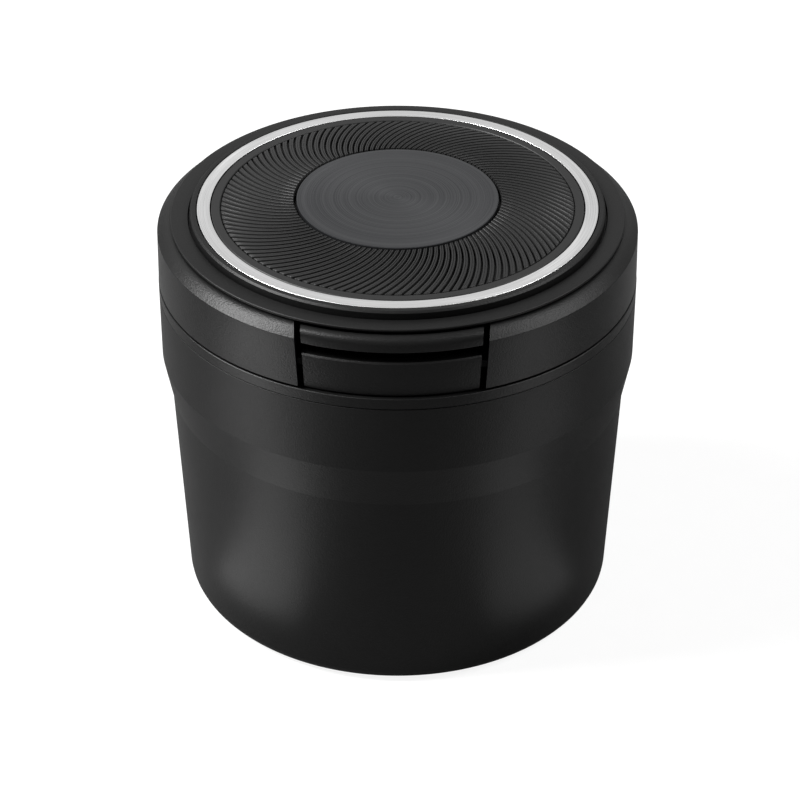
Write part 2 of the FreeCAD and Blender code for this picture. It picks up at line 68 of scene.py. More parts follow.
def rounded(corners, steps=4):
    """Outline through (across, up, rounding) corners, each rounding an arc. 0 leaves a corner sharp."""
    points = []
    for index, (across, up, rounding) in enumerate(corners):
        here = Vector((across, up))
        if not rounding:
            points.append((across, up))
            continue
        before = (Vector(corners[index - 1][:2]) - here).normalized()
        after = (Vector(corners[(index + 1) % len(corners)][:2]) - here).normalized()
        half = before.angle(after) / 2
        centre = here + (before + after).normalized() * rounding / math.sin(half)
        start = here + before * rounding / math.tan(half) - centre
        end = here + after * rounding / math.tan(half) - centre
        first = math.atan2(start.y, start.x)
        swing = (math.atan2(end.y, end.x) - first + math.pi) % (2 * math.pi) - math.pi
        for step in range(steps + 1):
            angle = first + swing * step / steps
            points.append((centre.x + rounding * math.cos(angle), centre.y + rounding * math.sin(angle)))
    return points


def turned(outline, steps=TURN_STEPS):
    """Corners and faces of an outline of (radius, height) points turned round Z.
    An outline that starts on the axis also ends there; any other is closed on itself."""
    corners, rings, faces = [], [], []
    for radius, height in outline:
        first = len(corners)
        if radius < 0.001:
            corners.append((0, 0, height))
            rings.append([first] * steps)
            continue
        for step in range(steps):
            angle = 2 * math.pi * step / steps
            corners.append((radius * math.sin(angle), -radius * math.cos(angle), height))
        rings.append(range(first, first + steps))
    followers = rings[1:] if outline[0][0] < 0.001 else rings[1:] + rings[:1]
    for ring, follower in zip(rings, followers):
        for step in range(steps):
            after = (step + 1) % steps
            face = list(dict.fromkeys([ring[step], ring[after], follower[after], follower[step]]))
            if len(face) > 2:
                faces.append(face)
    return corners, faces


def piece(name, parts, material, body, nodes, edge=0.0):
    """One piece from closed parts in millimetres, with its sharp edges rounded, on its body."""
    corners, faces = [], []
    for part_corners, part_faces in parts:
        first = len(corners)
        corners += [Vector(corner) * MM for corner in part_corners]
        faces += [[first + index for index in face] for face in part_faces]
    mesh = bpy.data.meshes.new(name)
    mesh.from_pydata(corners, [], faces)
    form = bmesh.new()
    form.from_mesh(mesh)
    bmesh.ops.recalc_face_normals(form, faces=form.faces)
    for face in form.faces:
        face.smooth = True
    form.to_mesh(mesh)
    form.free()
    made = bpy.data.objects.new(name, mesh)
    bpy.context.scene.collection.objects.link(made)
    if edge:
        bevel = made.modifiers.new("rounded_edges", "BEVEL")
        bevel.width = edge * MM
        bevel.segments = 3
        bevel.limit_method = "ANGLE"
        bevel.angle_limit = SHARP
        bevel.harden_normals = True
    else:
        mesh.set_sharp_from_angle(angle=SHARP)
    mesh.materials.append(material)
    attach(made, body)
    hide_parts(*nodes)
    return made


class Shade:
    """A socket in a material. Sums, differences and products of sockets add their Math nodes."""

    def __init__(self, tree, socket):
        self.tree, self.socket = tree, socket

    def node(self, kind, settings, inputs, output=0):
        """Adds a node: its settings first, then the values or links of its sockets."""
        made = self.tree.nodes.new("ShaderNode" + kind)
        for key, value in settings.items():
            setattr(made, key, value)
        for key, value in inputs.items():
            if isinstance(value, Shade):
                self.tree.links.new(value.socket, made.inputs[key])
            else:
                made.inputs[key].default_value = value
        return Shade(self.tree, made.outputs[output])

    def maths(self, operation, first, second, third=0.0):
        return self.node("Math", {"operation": operation}, {0: first, 1: second, 2: third})

    def __add__(self, other):
        return self.maths("ADD", self, other)

    __radd__ = __add__

    def __sub__(self, other):
        return self.maths("SUBTRACT", self, other)

    def __rsub__(self, other):
        return self.maths("SUBTRACT", other, self)

    def __mul__(self, other):
        return self.maths("MULTIPLY", self, other)

    __rmul__ = __mul__

    def split(self):
        """The three parts of a place."""
        return [self.node("SeparateXYZ", {}, {0: self}, output=index) for index in range(3)]

    def beside(self, other):
        """The distance that two legs at right angles make."""
        return self.maths("SQRT", self * self + other * other, 0.0)

    def between(self, low, high):
        """0 below low, 1 above high, and smooth between them."""
        return self.node("MapRange", {"interpolation_type": "SMOOTHSTEP"}, {0: self, 1: low, 2: high})

    def mix(self, dark, light):
        """A colour from dark to light as this value goes from 0 to 1."""
        return self.node("Mix", {"data_type": "RGBA"}, {0: self, 6: dark, 7: light}, output=2)

    def noise(self, scale, detail=2.0):
        """Noise over a place, with grains of about 1 / scale metres."""
        return self.node("TexNoise", {}, {"Vector": self, "Scale": scale, "Detail": detail})


def tone(red, green=None, blue=None):
    """An opaque colour; one number gives a grey."""
    return (red, red if green is None else green, red if blue is None else blue, 1)


def new_material(name):
    """A material, its shader and the place on the piece, in metres."""
    material = bpy.data.materials.new(name)
    material.use_nodes = True
    tree = material.node_tree
    shader = tree.nodes["Principled BSDF"]
    place = Shade(tree, None).node("TexCoord", {}, {}, output=3)
    return material, shader, place


def dress(material, shader, settings):
    """Sets the shader's sockets, each to a value or to a link."""
    for key, value in settings.items():
        if isinstance(value, Shade):
            material.node_tree.links.new(value.socket, shader.inputs[key])
        else:
            shader.inputs[key].default_value = value
    return material


PLASTIC_BLACK = 0.0045
PLASTIC_SHINE = 0.21
PIT_DEPTH = 0.0002


def moulded_plastic(name, roughness, grain):
    """Satin black plastic from a sparked mould: a fine grain, with faint clouds where it has been handled."""
    material, shader, place = new_material(name)
    pits = place.noise(3600, 3)
    clouds = place.noise(70, 3)
    darkest, lightest = tone(PLASTIC_BLACK * 0.8), tone(PLASTIC_BLACK * 1.2)
    return dress(material, shader, {
        "Base Color": (pits * 0.6 + clouds * 0.4).between(0.3, 0.7).mix(darkest, lightest),
        "Roughness": roughness + (clouds - 0.5) * 0.10 + (pits - 0.5) * 0.08,
        "Specular IOR Level": PLASTIC_SHINE,
        "Normal": place.node("Bump", {}, {"Strength": grain, "Distance": PIT_DEPTH, "Height": pits}),
    })


cup_plastic = moulded_plastic("cup_plastic", 0.45, 0.22)

cup_low, cup_high = size("cup_body")
CUP_R = cup_high.x
CUP_BASE = cup_low.z
CUP_TOP = cup_high.z
CUP_WALL = 2.2
CUP_FLOOR = 3.2
BAND_LOW = 37.9
BAND_HIGH = 45.3
HOLDER_R = CUP_R - 1.4
FOOT_R = HOLDER_R - 1.7
pad_low, pad_high = size("base_pad")
POCKET_R = pad_high.x + 0.1

piece("cup", [turned(rounded([
    (0, pad_high.z, 0), (POCKET_R, pad_high.z, 0.1), (POCKET_R, CUP_BASE, 0.15), (FOOT_R, CUP_BASE, 2.0),
    (HOLDER_R, BAND_LOW, 0.5), (CUP_R, BAND_HIGH, 0.5), (CUP_R, CUP_TOP, 0.12),
    (CUP_R - CUP_WALL, CUP_TOP, 0.3), (CUP_R - CUP_WALL, BAND_HIGH, 1.0),
    (HOLDER_R - CUP_WALL, BAND_LOW, 1.0), (FOOT_R - CUP_WALL, CUP_BASE + CUP_FLOOR, 1.2),
    (0, CUP_BASE + CUP_FLOOR, 0)], 6))], cup_plastic, "cup", ["cup_body"])


# Anti-slip pad
# A disc of soft black rubber, glued into the pocket in the cup's floor. It stands a little proud and
# has rings moulded in its underside that grip the bottom of the cup holder.

PAD_GROOVES = 7
PAD_GROOVE_W = 1.2
PAD_GROOVE_D = 0.25

rubber, shader, place = new_material("pad_rubber")
crumbs = place.noise(2600, 4)
dress(rubber, shader, {
    "Base Color": crumbs.between(0.35, 0.7).mix(tone(0.010), tone(0.026)),
    "Roughness": 0.78 + (crumbs - 0.5) * 0.2,
    "Normal": place.node("Bump", {}, {"Strength": 0.4, "Distance": 0.00006, "Height": crumbs}),
})

pad_r = pad_high.x
outline = [(0, pad_high.z), (pad_r, pad_high.z), (pad_r, 0.3), (pad_r - 0.3, 0)]
for index in range(PAD_GROOVES):
    outer = pad_r - 2.5 - index * 3.6
    for inset, depth in ((0, 0), (0.25, 1), (PAD_GROOVE_W - 0.25, 1), (PAD_GROOVE_W, 0)):
        outline.append((outer - inset, depth * PAD_GROOVE_D))
outline.append((0, 0))
piece("anti_slip_pad", [turned(outline)], rubber, "cup", ["base_pad"])


# Collar ring
# A satin black ring pressed into the mouth of the cup. It carries the head; a hairline shows where
# it meets the cup, and the bevel on its top edge catches the light under the seam.

head_plastic = moulded_plastic("head_plastic", 0.38, 0.30)

collar_low, collar_high = size("collar_ring")
COLLAR_TOP = collar_high.z
COLLAR_WALL = 2.3
PLUG_R = CUP_R - CUP_WALL - 0.1
COLLAR_BORE = PLUG_R - COLLAR_WALL
COLLAR_BEVEL = 0.1

piece("collar", [turned(rounded([
    (COLLAR_BORE, collar_low.z, 0.3), (PLUG_R, collar_low.z, 0.3), (PLUG_R, CUP_TOP - 0.05, 0),
    (CUP_R - 0.15, CUP_TOP + 0.04, 0), (CUP_R, CUP_TOP + 0.2, 0), (CUP_R, COLLAR_TOP - COLLAR_BEVEL, 0.04),
    (CUP_R - COLLAR_BEVEL, COLLAR_TOP, 0.04), (COLLAR_BORE, COLLAR_TOP, 0.3)]))],
    head_plastic, "cup", ["collar_ring"])


# Head housing
# One moulding in satin black plastic: the skirt with its soft shoulder, the deck and neck inside it,
# and the spigot that is pushed into the collar. The skirt is open at the front for the lid's tongue and
# the button, and at the rear for the hinge, whose ears stand on the deck.

SKIRT_EDGE = 0.08


def at_front(x):
    """Turn, at a radius and height, of a side of the front window. It is at this x at the rim and leans
    in towards the foot."""
    return lambda radius, height: math.asin((x - math.copysign(WINDOW_LEAN * (RIM_Z - height), x)) / radius)


def at_rear(x):
    """Turn, at a radius, of the plane at this x across the rear half."""
    return lambda radius, height: math.pi - math.asin(x / radius)


def swept(outline, start, end, steps):
    """Corners and faces of a closed outline of (radius, height) points carried from side to side."""
    count = len(outline)
    corners = []
    for step in range(steps + 1):
        for radius, height in outline:
            first = start(radius, height)
            angle = first + (end(radius, height) - first) * step / steps
            corners.append((radius * math.sin(angle), -radius * math.cos(angle), height))
    faces = [list(range(count)), list(range(steps * count, (steps + 1) * count))]
    for step in range(steps):
        for index in range(count):
            after = (index + 1) % count
            base = step * count
            faces.append([base + index, base + after, base + count + after, base + count + index])
    return corners, faces


def mirrored(part):
    """The same part on the other side of the middle plane."""
    corners, faces = part
    return [(-x, y, z) for x, y, z in corners], faces


def both_sides(*parts):
    """The parts and their mirror images."""
    return list(parts) + [mirrored(part) for part in parts]


def block(x, y, z):
    """A block between a (low, high) pair on each axis."""
    corners = [(across, along, up) for up in z for along in y for across in x]
    return corners, [[0, 1, 3, 2], [4, 5, 7, 6], [0, 1, 5, 4], [2, 3, 7, 6], [0, 2, 6, 4], [1, 3, 7, 5]]


def prism(outline, x):
    """An outline of (along, up) points between two planes across the object."""
    count = len(outline)
    corners = [(across, along, up) for across in x for along, up in outline]
    faces = [list(range(count)), list(range(count, 2 * count))]
    for index in range(count):
        after = (index + 1) % count
        faces.append([index, after, count + after, count + index])
    return corners, faces


def disc_outline(radius, along, up, steps=40):
    """Points of a circle seen from the side."""
    return [(along + radius * math.cos(2 * math.pi * step / steps),
             up + radius * math.sin(2 * math.pi * step / steps)) for step in range(steps)]


head_low, head_high = size("head_housing")
pin_low, pin_high = size("hinge_pin")
HINGE_Y = (pin_low.y + pin_high.y) / 2
HINGE_Z = (pin_low.z + pin_high.z) / 2
PIN_R = (pin_high.z - pin_low.z) / 2
RIM_Z = head_high.z
DECK_Z = COLLAR_TOP + 2.1
CREASE_R = CUP_R - 0.2
CREASE_Z = RIM_Z - 1.55
RIM_R = CREASE_R - 2.11
LAND_R = RIM_R - 0.9
LAND_Z = RIM_Z - 1.0
SKIRT_IN = CREASE_R - 1.9
SEAM_Z = COLLAR_TOP + 0.45
SEAM_IN = CUP_R - 1.55
NOTCH_HALF = 15.2
FRONT_HALF = NOTCH_HALF - 1.0
FOOT_LEAN = 0.55
WINDOW_LEAN = FOOT_LEAN / (RIM_Z - COLLAR_TOP)
REAR_HALF = 11.0
NECK_R = CUP_R - 7.6
NECK_TOP = DECK_Z + 2.3
NECK_BORE = NECK_R - 1.6
SPIGOT_R = COLLAR_BORE - 0.1
GAP = 0.3
FACE_INSET = 0.6
FACE_T = 1.7
TRAVEL = 0.9
NOTCH_IN = CUP_R - FACE_INSET - FACE_T - TRAVEL - GAP - 0.1

# The shoulder of the skirt, from the crease: how far inward and how far up.
SHOULDER = [(0, 0), (0.45, 0.42), (0.90, 0.82), (1.25, 1.10), (1.55, 1.30), (1.82, 1.44), (2.11, 1.55)]
skirt = rounded([
    (SKIRT_IN, DECK_Z - 0.6, 0), (SEAM_IN, DECK_Z - 0.6, 0), (SEAM_IN, SEAM_Z, 0.1), (CUP_R - 0.05, SEAM_Z, 0.05),
    *((CREASE_R - inward, CREASE_Z + up, 0) for inward, up in SHOULDER),
    (LAND_R, RIM_Z, 0.15), (LAND_R, LAND_Z, 0.1), (SKIRT_IN, LAND_Z - SKIRT_IN + LAND_R, 0.3)])
rear_foot = rounded([
    (SKIRT_IN, COLLAR_TOP, 0), (SEAM_IN, COLLAR_TOP, 0), (SEAM_IN, SEAM_Z, 0.1), (CUP_R - 0.05, SEAM_Z, 0.12),
    (CUP_R - 0.08, DECK_Z, 0.1), (SKIRT_IN, DECK_Z, 0)])
deck = [(NOTCH_IN, COLLAR_TOP), (NOTCH_IN, DECK_Z), (NECK_R - 0.4, DECK_Z), (NECK_R - 0.4, COLLAR_TOP)]
outer_deck = [(NOTCH_IN - 0.2, COLLAR_TOP), (SEAM_IN, COLLAR_TOP), (SEAM_IN, DECK_Z), (NOTCH_IN - 0.2, DECK_Z)]
neck = rounded([
    (NECK_BORE, COLLAR_TOP - 0.2, 0), (NECK_R, COLLAR_TOP - 0.2, 0), (NECK_R, NECK_TOP, 0.2),
    (NECK_BORE, NECK_TOP, 0.2)])
SEAL_H = 1.2
SEAL_Z = COLLAR_TOP - 0.7
SPIGOT_WALL = 2.0
spigot = [
    (SPIGOT_R - SPIGOT_WALL, COLLAR_TOP - 5), (SPIGOT_R - 0.3, COLLAR_TOP - 5), (SPIGOT_R, COLLAR_TOP - 4.7),
    (SPIGOT_R, SEAL_Z - SEAL_H), (SPIGOT_R - SEAL_H, SEAL_Z - SEAL_H), (SPIGOT_R - SEAL_H, SEAL_Z),
    (SPIGOT_R, SEAL_Z), (SPIGOT_R, COLLAR_TOP + 0.3), (NECK_BORE + 0.2, COLLAR_TOP + 0.3),
    (NECK_BORE + 0.2, COLLAR_TOP), (SPIGOT_R - SPIGOT_WALL, COLLAR_TOP)]

COIL_HALF = 3.0
KNUCKLE_L = 3.6
EAR_L = 2.5
EAR_R = 2.0
COIL_R = 1.6
WIRE_R = 0.3
EAR_IN = COIL_HALF + GAP + KNUCKLE_L + GAP
HINGE_HALF = EAR_IN + EAR_L
ear = [(HINGE_Y - 0.7 * EAR_R, DECK_Z - 1), (HINGE_Y + 0.8 * EAR_R, DECK_Z - 1)]
ear += [(HINGE_Y + EAR_R * math.cos(turn), HINGE_Z + EAR_R * math.sin(turn))
        for turn in (math.radians(-37 + 10.5 * step) for step in range(25))]
BLOCK_IN = HINGE_Y - COIL_R + WIRE_R + 0.05
hinge_wall = rounded([(BLOCK_IN, DECK_Z - 1, 0), (CUP_R - 0.4, DECK_Z - 1, 0),
                      (CUP_R - 0.4, DECK_Z + 2.3, 0.25), (BLOCK_IN, DECK_Z + 2.3, 0.2)])
SEAT_X = 8.5
SEAT_HALF = 1.8
SEAT_BACK = -math.sqrt(NECK_R ** 2 - SEAT_X ** 2) - 0.6
seat = block((SEAT_X - SEAT_HALF, SEAT_X + SEAT_HALF), (SEAT_BACK, SEAT_BACK + 1.2), (DECK_Z - 0.3, NECK_TOP))

piece("head", [
    *both_sides(swept(skirt, at_front(NOTCH_HALF), at_rear(REAR_HALF), 150)),
    swept(rear_foot, at_rear(REAR_HALF + 0.05), at_rear(-REAR_HALF - 0.05), 24),
    *both_sides(swept(outer_deck, at_front(NOTCH_HALF), at_rear(0.01), 120)),
    turned(deck), turned(neck), turned(spigot),
    *both_sides(prism(ear, (EAR_IN, HINGE_HALF)), seat),
    swept(hinge_wall, at_rear(HINGE_HALF), at_rear(-HINGE_HALF), 24),
], head_plastic, "cup", ["head_housing"], edge=SKIRT_EDGE)


# Neck seal
# A soft dark silicone ring in the groove of the head's spigot. It keeps smoke and ash smell in.

silicone, shader, place = new_material("seal_rubber")
bloom = place.noise(900, 3)
dress(silicone, shader, {
    "Base Color": bloom.between(0.3, 0.75).mix(tone(0.022), tone(0.04)),
    "Roughness": 0.6 + (bloom - 0.5) * 0.2,
    "Normal": place.node("Bump", {}, {"Strength": 0.2, "Distance": 0.00004, "Height": bloom}),
})
seal_low, seal_high = size("neck_seal")
seal_in = seal_high.x - SEAL_H
piece("neck_seal_ring", [turned(rounded([
    (seal_in, seal_low.z, 0.4), (seal_high.x, seal_low.z, 0.4),
    (seal_high.x, seal_high.z, 0.4), (seal_in, seal_high.z, 0.4)]))], silicone, "cup", ["neck_seal"])


# Inner liner
# A removable bin drawn from thin stainless sheet. Its flange lies on the neck, and a step below
# the mouth carries the snuffer plate.


def brushed_metal(name, colour, roughness, stroke, round_the_axis=True, anisotropic=0.0):
    """Sheet metal with fine brush strokes that run round the axis or straight across."""
    material, shader, place = new_material(name)
    if round_the_axis:
        x, y, z = place.split()
        lines = place.node("CombineXYZ", {}, {0: x.beside(y) * stroke, 1: z * stroke, 2: (x + y) * stroke * 0.012})
    else:
        lines = place.node("VectorMath", {"operation": "MULTIPLY"}, {0: place, 1: (stroke * 0.02, stroke, stroke)})
    strokes = lines.noise(1.0, 4)
    marks = place.noise(160, 3)
    return dress(material, shader, {
        "Base Color": strokes.between(0.25, 0.75).mix(tone(*(part * 0.8 for part in colour)), tone(*colour)),
        "Metallic": 1.0,
        "Anisotropic": anisotropic,
        "Roughness": roughness + (strokes - 0.5) * 0.16 + (marks - 0.5) * 0.12,
        "Normal": place.node("Bump", {}, {"Strength": 0.12, "Distance": 0.00002, "Height": strokes}),
    })


steel = brushed_metal("liner_steel", (0.56, 0.555, 0.54), 0.30, 5000)

plate_low, plate_high = size("snuffer_plate")
liner_low, liner_high = size("inner_liner")
LINER_T = 0.5
LINER_R = NECK_BORE - 0.4
STEP_Z = plate_low.z
LOWER_R = LINER_R - 1.0
FOOT_LINER_R = LOWER_R - 0.9

piece("liner", [turned(rounded([
    (0, liner_low.z, 0), (FOOT_LINER_R, liner_low.z, 3.2), (LOWER_R, STEP_Z - LINER_T, 0.3),
    (LINER_R, STEP_Z - LINER_T, 0.5), (LINER_R, liner_high.z - 0.6, 0.2), (liner_high.x, liner_high.z - 0.6, 0.25),
    (liner_high.x, liner_high.z, 0.25), (LINER_R - LINER_T, liner_high.z, 0.6), (LINER_R - LINER_T, STEP_Z, 0.3),
    (LOWER_R - LINER_T, STEP_Z, 0.35), (FOOT_LINER_R - LINER_T, liner_low.z + LINER_T, 2.7),
    (0, liner_low.z + LINER_T, 0)], 6))], steel, "cup", ["inner_liner"])


# Snuffer plate
# A stamped stainless plate that covers the rear half of the liner. A cigarette is put out in one of
# its two tubes, and the notch in its front edge holds one that is still lit.


def layer(outline, z, holes=()):
    """A flat plate with holes, between a (low, high) pair of heights, from (across, along) points."""
    loops = [outline, *holes]
    flat = [[Vector((across, along, 0)) for across, along in loop] for loop in loops]
    triangles = [list(triangle) for triangle in tessellate_polygon(flat)]
    corners = [(across, along, up) for up in z for loop in loops for across, along in loop]
    count = len(corners) // 2
    faces = triangles + [[index + count for index in triangle] for triangle in triangles]
    first = 0
    for loop in loops:
        for index in range(len(loop)):
            here, after = first + index, first + (index + 1) % len(loop)
            faces.append([here, after, after + count, here + count])
        first += len(loop)
    return corners, faces


def moved(part, across, along, up=0):
    """The same part in another place."""
    corners, faces = part
    return [(x + across, y + along, z + up) for x, y, z in corners], faces


def arc(radius, start, end, steps, centre=(0, 0)):
    """Points on an arc from one turn to another, in degrees from +X."""
    turns = [math.radians(start + (end - start) * step / steps) for step in range(steps + 1)]
    return [(centre[0] + radius * math.cos(turn), centre[1] + radius * math.sin(turn)) for turn in turns]


PLATE_T = 0.8
TUBE_R = 5.0
TUBE_T = 0.5
TUBE_X = 11.0
TUBE_Y = 14.0
REST_R = 4.5
FRONT_Y = plate_low.y
plate_r = LINER_R - LINER_T - 0.1
reach = math.degrees(math.asin(FRONT_Y / plate_r))
tube_low = plate_low.z
plate_z = (STEP_Z, STEP_Z + PLATE_T)
rest_notch = [(x, 2 * FRONT_Y - y) for x, y in arc(REST_R, 180, 360, 32, (0, FRONT_Y))]
plate_edge = arc(plate_r, reach, 180 - reach, 120) + rest_notch
openings = [arc(TUBE_R - TUBE_T, 0, 351, 39, (side * TUBE_X, TUBE_Y)) for side in (-1, 1)]
tube = turned(rounded([
    (TUBE_R - TUBE_T, tube_low, 0.15), (TUBE_R, tube_low, 0.15), (TUBE_R, STEP_Z - 0.2, 0.3),
    (TUBE_R + 0.5, STEP_Z + 0.1, 0), (TUBE_R + 0.5, STEP_Z + PLATE_T, 0.2),
    (TUBE_R - TUBE_T, STEP_Z + PLATE_T, 0.45)]), 72)
stamped = brushed_metal("plate_steel", (0.60, 0.595, 0.58), 0.27, 4200, round_the_axis=False)
piece("snuffer", [layer(plate_edge, plate_z, openings), moved(tube, TUBE_X, TUBE_Y), moved(tube, -TUBE_X, TUBE_Y)],
      stamped, "cup", ["snuffer_plate"], edge=0.12)


# Hinge pin
# A ground steel pin, pressed into the head's two ears. The lid's knuckles turn on it.

pin_steel = brushed_metal("pin_steel", (0.5, 0.5, 0.5), 0.24, 3800)
pin_end = pin_high.x
pin = [(0, -pin_end), (PIN_R - 0.25, -pin_end), (PIN_R, 0.25 - pin_end), (PIN_R, pin_end - 0.25),
       (PIN_R - 0.25, pin_end), (0, pin_end)]
corners, faces = turned(pin, 48)
piece("pin", [([(z, HINGE_Y + x, HINGE_Z + y) for x, y, z in corners], faces)],
      pin_steel, "cup", ["hinge_pin"])


# Lid spring
# A torsion spring of drawn wire round the pin. One leg goes down and bears on the wall behind it, the
# other goes forward under the lid and lifts it when the button is pressed.


def wire(path, radius, sides=14):
    """Round wire along a path of points, closed at both ends."""
    corners, faces = [], []
    normal = None
    for index, here in enumerate(path):
        along = (path[min(index + 1, len(path) - 1)] - path[max(index - 1, 0)]).normalized()
        side = along.orthogonal() if normal is None else normal - along * normal.dot(along)
        normal = side.normalized()
        across = along.cross(normal)
        for step in range(sides):
            turn = 2 * math.pi * step / sides
            corners.append(here + (normal * math.cos(turn) + across * math.sin(turn)) * radius)
    for index in range(len(path) - 1):
        for step in range(sides):
            base, after = index * sides, (step + 1) % sides
            faces.append([base + step, base + after, base + sides + after, base + sides + step])
    faces += [list(range(sides)), list(range(len(corners) - sides, len(corners)))]
    return corners, faces


drawn_wire = brushed_metal("spring_steel", (0.42, 0.42, 0.43), 0.30, 6000, round_the_axis=False)
LID_TURNS = 2.75
COIL_L = 0.85 * LID_TURNS
LEG_DOWN = 5.2
LEG_FORWARD = 3.5
coil = []
for step in range(int(LID_TURNS * 40) + 1):
    turn = 2 * math.pi * step / 40
    coil.append(Vector((COIL_L / 2 - COIL_L * step / (LID_TURNS * 40),
                        HINGE_Y - COIL_R * math.cos(turn), HINGE_Z + COIL_R * math.sin(turn))))
leg_down = [coil[0] - Vector((0, 0, LEG_DOWN - step)) for step in (0, 2, 4)]
leg_forward = [coil[-1] - Vector((0, step, 0)) for step in (1, 2, LEG_FORWARD)]
piece("lid_coil", [wire(leg_down + coil + leg_forward, WIRE_R)], drawn_wire, "cup", ["lid_spring"])


# Lid base
# The lower half of the lid, moulded in the same black plastic. It has the tongue that closes the front
# of the skirt, the tab that the button catches, and two knuckles on the hinge pin.

cover_low, cover_high = size("lid_cover")
shield_low, shield_high = size("heat_shield")
BASE_Z = shield_high.z
BASE_TOP = cover_low.z
BASE_R = CUP_R - 4.4
TONGUE_R = CUP_R - FACE_INSET
TONGUE_IN = TONGUE_R - 1.8
TONGUE_Z = RIM_Z - 2.45
WEB_Z = TONGUE_Z - 0.5
KNUCKLE_R = 2.2
KNUCKLE_IN = COIL_HALF + GAP

tongue = rounded([
    (BASE_R - 1, WEB_Z, 0), (TONGUE_IN, WEB_Z, 0), (TONGUE_IN, TONGUE_Z, 0), (TONGUE_R, TONGUE_Z, 0.3),
    (TONGUE_R, RIM_Z, 1.3), (TONGUE_IN, RIM_Z, 0.2), (TONGUE_IN, WEB_Z + 2, 0), (BASE_R - 1, WEB_Z + 2, 0)], 6)
TAB_BACK = -NOTCH_IN + 0.9
TAB_T = 0.8
TAB_LOW = BASE_Z - 4.1
tab = [(TAB_BACK - TAB_T, BASE_Z + 0.8), (TAB_BACK - TAB_T, TAB_LOW + 0.6), (TAB_BACK - TAB_T / 2, TAB_LOW),
       (TAB_BACK, TAB_LOW), (TAB_BACK + 0.6, TAB_LOW + 0.55), (TAB_BACK + 0.6, TAB_LOW + 1.1),
       (TAB_BACK, TAB_LOW + 1.1), (TAB_BACK, BASE_Z + 0.8)]
TAB_HALF = 3.6
knuckle = prism(disc_outline(KNUCKLE_R, HINGE_Y, HINGE_Z), (KNUCKLE_IN, KNUCKLE_IN + KNUCKLE_L))
strap = block((KNUCKLE_IN, KNUCKLE_IN + KNUCKLE_L), (HINGE_Y - 2 * KNUCKLE_R, HINGE_Y), (BASE_Z, BASE_TOP))

# The plate is open at the rear for the spring and for the ears of the head.
SPRING_FRONT = HINGE_Y - KNUCKLE_R
PLATE_BACK = 35.4
EAR_ROOM = EAR_R + GAP + 0.05
room_edge = HINGE_Y - math.sqrt(EAR_ROOM ** 2 - (HINGE_Z - BASE_Z) ** 2) - 0.25
ear_out = HINGE_HALF + GAP
ear_turn = math.degrees(math.acos(ear_out / BASE_R))
plate_outline = [
    (ear_out, room_edge), (EAR_IN - GAP, room_edge), (EAR_IN - GAP, PLATE_BACK), (KNUCKLE_IN, PLATE_BACK),
    (KNUCKLE_IN, SPRING_FRONT), (-KNUCKLE_IN, SPRING_FRONT), (-KNUCKLE_IN, PLATE_BACK),
    (-EAR_IN + GAP, PLATE_BACK), (-EAR_IN + GAP, room_edge), (-ear_out, room_edge)]
plate_outline += arc(BASE_R, 180 - ear_turn, 360 + ear_turn, 200)

piece("lid_frame", [
    layer(plate_outline, (BASE_Z, BASE_TOP)),
    swept(tongue, at_front(-FRONT_HALF), at_front(FRONT_HALF), 60),
    prism(tab, (-TAB_HALF, TAB_HALF)),
    *both_sides(knuckle, strap),
], head_plastic, "lid", ["lid_base"], edge=0.12)


# Lid cover
# The upper half of the lid: a thin outer ledge, a fine moat, and a raised plateau with a bevelled edge and
# a round recess for the trim. Two screws from below hold it to the base.

cover_plastic = moulded_plastic("cover_plastic", 0.45, 0.22)

trim_low, trim_high = size("trim_ring")
TOP_Z = trim_high.z
RECESS_Z = trim_low.z
LEDGE_Z = TOP_Z - 1.25
LEDGE_LOW = LEDGE_Z - 0.7
COVER_R = cover_high.x
LIP_Z = LEDGE_Z - 0.45
PLATEAU_R = COVER_R - 3.25
RECESS_R = PLATEAU_R - 1.0
THICK_R = BASE_R + 0.8
MOAT_W = 0.36
MOAT_D = 0.5
PLATEAU_BEVEL = 0.32

piece("lid_top", [turned(rounded([
    (0, BASE_TOP, 0), (PLATEAU_R + 0.1, BASE_TOP, 0.1), (PLATEAU_R + 0.1, LEDGE_LOW, 0.1),
    (THICK_R, LEDGE_LOW, 0.1), (THICK_R, LIP_Z, 0.1), (COVER_R, LIP_Z, 0.06), (COVER_R, LEDGE_Z, 0.2),
    (PLATEAU_R + MOAT_W, LEDGE_Z, 0.08), (PLATEAU_R + MOAT_W - 0.1, LEDGE_Z - MOAT_D, 0.08),
    (PLATEAU_R, LEDGE_Z - MOAT_D, 0.08), (PLATEAU_R, TOP_Z - PLATEAU_BEVEL, 0.08),
    (PLATEAU_R - PLATEAU_BEVEL, TOP_Z, 0.08), (RECESS_R, TOP_Z, 0.1),
    (RECESS_R, RECESS_Z, 0), (0, RECESS_Z, 0)], 6))], cover_plastic, "lid", ["lid_cover"])


# Trim ring
# A bright ring, turned and satin brushed round its top, with its edges just broken. It is glued in the
# recess of the cover.

RING_R = trim_high.x
RING_IN = RING_R - 2.2
bright = brushed_metal("bright_trim", (0.95, 0.95, 0.95), 0.30, 5200, anisotropic=0.5)
ring_edge = RING_R - 0.1
piece("bright_ring", [turned(rounded([
    (RING_IN, RECESS_Z, 0), (ring_edge, RECESS_Z, 0), (ring_edge, TOP_Z, 0.06), (RING_IN, TOP_Z, 0.06)], 3), 288)],
    bright, "lid", ["trim_ring"])
